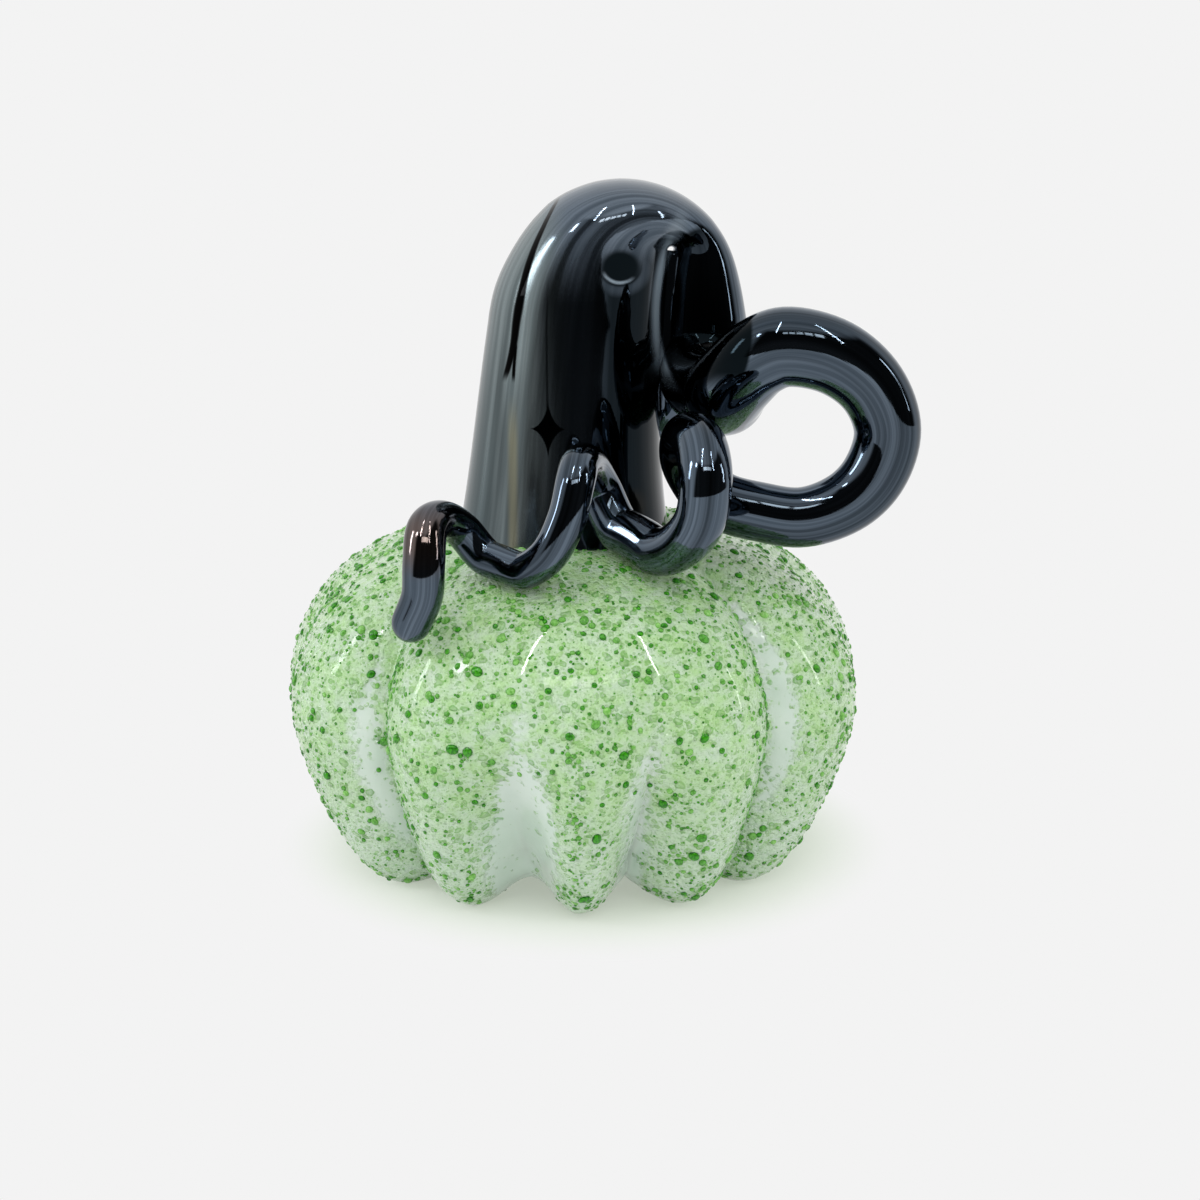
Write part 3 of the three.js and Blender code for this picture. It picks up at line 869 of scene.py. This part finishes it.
def black_glass():
    """Near-black glass under a thin pewter lustre, which runs in streaks and parts in places."""
    material, shader, here = new_material("black_glass")
    flow = here.add("ShaderNodeAttribute", {"attribute_name": "flow"}, out="Vector")
    at = here.moved("SUBTRACT", foot_axis).moved("MULTIPLY", (1000, 1000, 1000))
    at = here.add("ShaderNodeSeparateXYZ", None, {0: at})
    x, y, z = at, at.sibling("Y"), at.sibling("Z")
    front = 1 - y.step(-4, 1)

    def greatest(first, *others):
        """The greatest of several wires."""
        for other in others:
            first = here.math("MAXIMUM", first, other)
        return first

    def off(place, middle):
        """How far a place lies from a middle, on either side."""
        return here.math("ABSOLUTE", place - middle)

    def streaks(around, along, detail=3):
        """Noise that is drawn out along the pull."""
        stretched = flow.moved("MULTIPLY", (around, around, along))
        inputs = {"Vector": stretched, "Scale": 1.0, "Detail": detail}
        return here.add("ShaderNodeTexNoise", None, inputs)

    def oval(middle_x, middle_z, half_x, half_z):
        """How far a place on the front lies from an oval's middle: 1 on its edge."""
        return here.math("SQRT", ((x - middle_x) / half_x) ** 2 + ((z - middle_z) / half_z) ** 2)

    def line_at(stations, width):
        """A thin line down the column: 1 along it, through places given as height and x."""
        left, reach = -14, 20
        low_z, high_z = stations[0][0], stations[-1][0]
        share = (z - low_z) / (high_z - low_z)
        places = [((h - low_z) / (high_z - low_z), (a - left) / reach) for h, a in stations]
        curve = share.add("ShaderNodeFloatCurve", {"curve": places}, {"Value": share})
        return 1 - off(x, curve * reach + left).step(width * 0.5, width)

    # Lustre: wide and narrow streaks of film, satin down the left side, bare black on the right
    wide = streaks(1.6, 0.10)
    narrow = streaks(8, 0.22)
    hair = streaks(30, 0.5, 2)
    column = here.add("ShaderNodeAttribute", {"attribute_name": "column"}, out="Fac")
    film = 0.35 + wide.step(0.36, 0.54) * 0.45 + narrow.step(0.4, 0.65) * 0.2
    satin = column * (1 - (x + (narrow - 0.5) * 5).step(-6, 0.5)) * (0.8 + 0.2 * hair)
    right_side = column * (x + narrow * 4).step(3, 8) * front
    film = film * (1 - right_side * (0.96 - 0.9 * z.step(90, 97)))
    haze = column * z.step(86, 97) * (1 - satin) * (0.4 + 0.6 * narrow.step(0.35, 0.6))

    # Crack down the hook's left side, which forks at its foot
    crack_places = [
        (75, -10.1), (80.4, -8.6), (84.5, -8.0), (88.5, -7.2), (93, -6.0), (98, -3.9), (103, -1.2),
    ]
    fork_places = [(74, -8.6), (77, -8.5), (80.4, -8.2), (82, -8.1)]
    crack_width, fork_width = 0.86 - off(z, 86) * 0.036, 0.30
    main, fork = line_at(crack_places, crack_width), line_at(fork_places, fork_width)
    fork = fork * z.step(75, 76.5) * (1 - z.step(80, 82))
    crack = greatest(main * z.step(75, 77), fork) * (1 - z.step(100, 103)) * front

    # Gap in the lustre with four points, and a dark seam above it
    star_x, star_z, star_half_x, star_half_z, star_power = -3.4, 68.6, 2.8, 4.6, 0.6
    gap_x, gap_z = off(x, star_x) / star_half_x, off(z, star_z) / star_half_z
    gap = (1 - (gap_x**star_power + gap_z**star_power).step(0.92, 1.0)) * front * column
    seam = (1 - off(x, -3.9 + narrow * 0.8).step(0.05, 0.25)) * front * column
    seam = seam * z.step(70, 72) * (1 - z.step(84, 92))

    # Painted reflection on the hook's front: a round dark spot, with a bright arc at its foot
    # that is a painted highlight, and a faint painted ring round it
    round_reflection = oval(7.2, 91.9, 2.9, 2.5)
    painted_dark_reflection = (1 - round_reflection.step(0.75, 1.15)) * front
    painted_arc_highlight = round_reflection.step(0.72, 0.86) * (1 - round_reflection.step(0.90, 1.04)) * front
    painted_arc_highlight = painted_arc_highlight * (1 - (z + x * 0.2).step(91.3, 92.6))
    painted_reflection_ring = round_reflection.step(1.0, 1.2) * (1 - round_reflection.step(1.3, 1.9)) * front

    # Painted reflection in the pocket between column and limb: black within a bright rim,
    # which is a painted highlight
    pocket = oval(19.4, 84.8, 6.3, 13.2)
    painted_pocket_reflection = (1 - pocket.step(0.92, 1.0)) * front * (x - 11).step(0, 1) * z.step(74, 78)
    rim = pocket.step(0.92, 1.02) * (1 - pocket.step(1.08, 1.34)) * front * (1 - x.step(14, 18))
    rim = rim * z.step(73, 77) * x.step(10.5, 12)
    film = film * (1 - greatest(crack, gap, painted_dark_reflection, painted_pocket_reflection, seam * 0.35))

    # Lustre colours: blue pewter, grey satin, an olive line and an amber patch; and painted light:
    # a brown reflection of something warm, and silver highlights
    dark_pewter, pale_pewter = (0.072, 0.098, 0.130, 1), (0.140, 0.178, 0.225, 1)
    dark_satin, pale_satin = (0.17, 0.21, 0.215, 1), (0.25, 0.295, 0.30, 1)
    side_satin, olive = (0.10, 0.13, 0.135, 1), (0.42, 0.40, 0.26, 1)
    warm_reflection_brown, amber_brown = (0.34, 0.27, 0.19, 1), (0.20, 0.125, 0.085, 1)
    painted_highlight_silver, bare_black = (0.27, 0.34, 0.40, 1), (0.005, 0.008, 0.010, 1)
    crack_black = (0.001, 0.001, 0.001, 1)
    lustre = (hair * 0.3 + narrow * 0.7).step(0.25, 0.75).blend(dark_pewter, pale_pewter)
    satin_tone = narrow.step(0.3, 0.7).blend(dark_satin, pale_satin)
    satin_tone = (x + 15).step(0, 5).blend(side_satin, satin_tone)
    olive_line = (1 - off(x, -8.7).step(0.2, 1.1)) * (1 - z.step(66, 74)) * column
    satin_tone = (olive_line * front * 0.7).blend(satin_tone, olive)
    lustre = satin.blend(lustre, satin_tone)
    # Painted reflection of something warm on the column's front, in brown
    painted_warm_reflection = (1 - oval(9.4, 56.4, 2.6, 3.4).step(0.4, 1.0)) * front * column
    lustre = painted_warm_reflection.blend(lustre, warm_reflection_brown)
    amber = (1 - off(z, 57).step(1, 6)) * (1 - x.step(-18, -15))
    amber = amber * (1 - column) * (1 - y.step(-24, -16))
    lustre = (amber * 0.6).blend(lustre, amber_brown)
    # Painted highlights: the pocket's rim and the arc at the round reflection's foot, in silver
    shine = greatest(rim, painted_arc_highlight)
    lustre = (shine * (0.6 + narrow * 0.4)).blend(lustre, painted_highlight_silver)
    film = greatest(film, shine, painted_reflection_ring * 0.35)
    colour = film.blend(bare_black, lustre)
    colour = crack.blend(colour, crack_black)

    bump = here.add(
        "ShaderNodeBump", None, {"Height": hair * 0.2, "Distance": 0.05 * mm, "Strength": 0.5}
    )
    here.feed(shader, {
        "Base Color": colour,
        "Metallic": 1 - shine * 0.7 - haze * film * 0.45,
        "Roughness": 0.03 + film * hair * 0.05 + satin * film * 0.24 + shine * 0.2,
        "Normal": bump,
        "IOR": 1.52,
    })
    return material


def parted(name, mesh, low, high, material):
    """Part of the pull, between two face numbers, that keeps the whole skin's normals."""
    corners = np.array([n.vector for n in mesh.vertex_normals])
    faces = [tuple(p.vertices) for p in mesh.polygons][low:high]
    used = sorted({v for face in faces for v in face})
    number = {v: i for i, v in enumerate(used)}
    part = bpy.data.meshes.new(name)
    part.from_pydata(
        [mesh.vertices[v].co for v in used], [], [tuple(number[v] for v in f) for f in faces]
    )
    marks = (("flow", "FLOAT_VECTOR", "vector", 3), ("column", "FLOAT", "value", 1))
    for attribute, kind, key, width in marks:
        values = np.zeros(len(mesh.vertices) * width)
        mesh.attributes[attribute].data.foreach_get(key, values)
        layer = part.attributes.new(attribute, kind, "POINT")
        layer.data.foreach_set(key, values.reshape(-1, width)[used].ravel())
    part.shade_smooth()
    part.normals_split_custom_set_from_vertices([tuple(corners[v]) for v in used])
    part.materials.append(material)
    made = bpy.data.objects.new(name, part)
    bpy.context.collection.objects.link(made)
    return made


def web_mesh():
    """The web of glass that fills the corner where the limb was pressed to the column."""
    stations = [
        beside_column(limb_drop * share, 0.5, radius, depth - radius)
        for share, radius, depth in web_stations
    ]
    web_rings, end = strand_rings(smooth_path(stations, 6), (-1, 0, 0))
    return tube_mesh("web", web_rings, end)


pull = pull_mesh()
dark_finish = black_glass()
parting_face = sides + parting * sides
stem = parted("stem", pull, 0, parting_face, dark_finish)
tendril = parted("tendril", pull, parting_face, len(pull.polygons), dark_finish)
web = bpy.data.objects.new("web", web_mesh())
bpy.context.collection.objects.link(web)
web.data.materials.append(dark_finish)
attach(web, "root")
for made, node in ((stem, "stem"), (tendril, "tendril")):
    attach(made, "root")
    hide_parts(node)


# Table and studio: a white table that runs into a white room, a row of ceiling lamps, two long
# bars and a tall window to each side. The front of the room is dark, as the black glass shows.
backdrop = 0.896


def table_top():
    """A flat round table, drawn as rings."""
    radii, corners = (0.06, 0.12, 0.25, 0.5, 1.0, 2.5), 48
    points = []
    faces = [tuple(range(corners))]
    for radius in radii:
        for k in range(corners):
            turn = 2 * math.pi * k / corners
            points.append((radius * math.cos(turn), radius * math.sin(turn), 0))
    for i in range(len(radii) - 1):
        a = i * corners
        for k in range(corners):
            n = (k + 1) % corners
            faces.append((a + k, a + corners + k, a + corners + n, a + n))
    mesh = bpy.data.meshes.new("table")
    mesh.from_pydata(points, [], faces)
    made = bpy.data.objects.new("table", mesh)
    bpy.context.collection.objects.link(made)
    return made


def table_paint():
    """White table: near the pumpkin it takes light and shadow, far out it joins the room."""
    material, shader, here = new_material("table_white")
    here.feed(shader, {
        "Base Color": (0.83, 0.83, 0.83, 1),
        "Roughness": 0.6,
        "Specular IOR Level": 0.2,
    })
    far = here.moved("LENGTH").sibling("Value").step(30 * mm, 50 * mm)
    rays = here.add("ShaderNodeLightPath", out="Is Camera Ray")
    seen = here.math("MAXIMUM", rays, rays.sibling("Is Glossy Ray"))
    # Painted light: near the pumpkin the table glows pale green, which also lightens its shadow
    green_glow = (0.82, 0.90, 0.76, 1)
    tint = far.blend(green_glow, (backdrop, backdrop, backdrop, 1))
    glow = here.add("ShaderNodeEmission", None, {"Color": tint, "Strength": 1.0})
    share = (0.45 + far * 0.55) * seen
    painted = Wire(here.tree, shader.outputs[0])
    mixed = here.add("ShaderNodeMixShader", None, {0: share, 1: painted, 2: glow})
    here.feed(here.tree.nodes["Material Output"], {"Surface": mixed})
    return material


table = table_top()
table.data.materials.append(table_paint())
table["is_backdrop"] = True

world = bpy.data.worlds.new("studio")
bpy.context.scene.world = world
world.use_nodes = True
room = Wire(world.node_tree)
toward = room.add("ShaderNodeTexCoord", out="Generated")
parts = room.add("ShaderNodeSeparateXYZ", None, {0: toward})
ahead_part, up_part = parts.sibling("Y"), parts.sibling("Z")
rays = room.add("ShaderNodeLightPath", out="Is Camera Ray")
aside = parts.step(0.0, 0.8) * 0.35 - (0 - parts).step(0.2, 1.0) * 0.45
dark_front = (aside - ahead_part).step(0.08, 0.35) * (1 - up_part.step(0.74, 0.84))

# The glass mirrors a room with a dark front. All else is lit by a plain one, dimmer overhead.
bright_room, dark_room = 0.86, 0.03
soft = 0.93 - 0.36 * up_part.step(0.1, 1.0)
mirrored = bright_room - (bright_room - dark_room) * dark_front
level = soft + (mirrored - soft) * rays.sibling("Is Glossy Ray")
light = room.add("ShaderNodeBackground", None, {"Color": (1, 1, 1, 1), "Strength": level})
paper = room.add(
    "ShaderNodeBackground", None, {"Color": (backdrop, backdrop, backdrop, 1), "Strength": 1.0}
)
mixed = room.add("ShaderNodeMixShader", None, {0: rays, 1: light, 2: paper})
room.feed(world.node_tree.nodes["World Output"], {"Surface": mixed})


def lamp(name, place, aim, width, height, power, colour=(1, 1, 1)):
    """A rectangular lamp at a place, turned towards its aim. Its power is in watts."""
    data = bpy.data.lights.new(name, "AREA")
    data.shape = "RECTANGLE"
    data.size, data.size_y = width, height
    data.energy = power
    data.color = colour
    made = bpy.data.objects.new(name, data)
    made.location = place
    made.rotation_euler = (Vector(aim) - Vector(place)).to_track_quat("-Z", "Y").to_euler()
    bpy.context.collection.objects.link(made)


warm_white, cool_white = (1.0, 0.97, 0.92), (0.93, 0.96, 1.0)
for k in range(5):
    x = -0.10 + 0.09 * k
    lamp(f"row_{k}", (x, -0.58, 0.64), (x, -0.1, 0.08), 0.07, 0.09, 0.12, warm_white)
lamp("pane_left", (-0.52, -0.36, 0.66), (0, 0, 0.08), 0.06, 0.09, 0.4, cool_white)
lamp("bar_left", (-0.19, -0.36, 0.87), (-0.03, 0.1, 0.05), 0.012, 0.50, 0.9)
lamp("bar_right", (0.41, -0.42, 0.87), (0.2, 0.2, 0.05), 0.012, 0.60, 1.0)
lamp("window_left", (-0.8, -0.12, 0.45), (0, 0, 0.06), 0.09, 0.36, 1.4, cool_white)
lamp("window_right", (0.8, -0.12, 0.36), (0, 0, 0.06), 0.04, 0.4, 0.6)

bpy.context.scene.view_settings.view_transform = "Standard"

low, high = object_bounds()
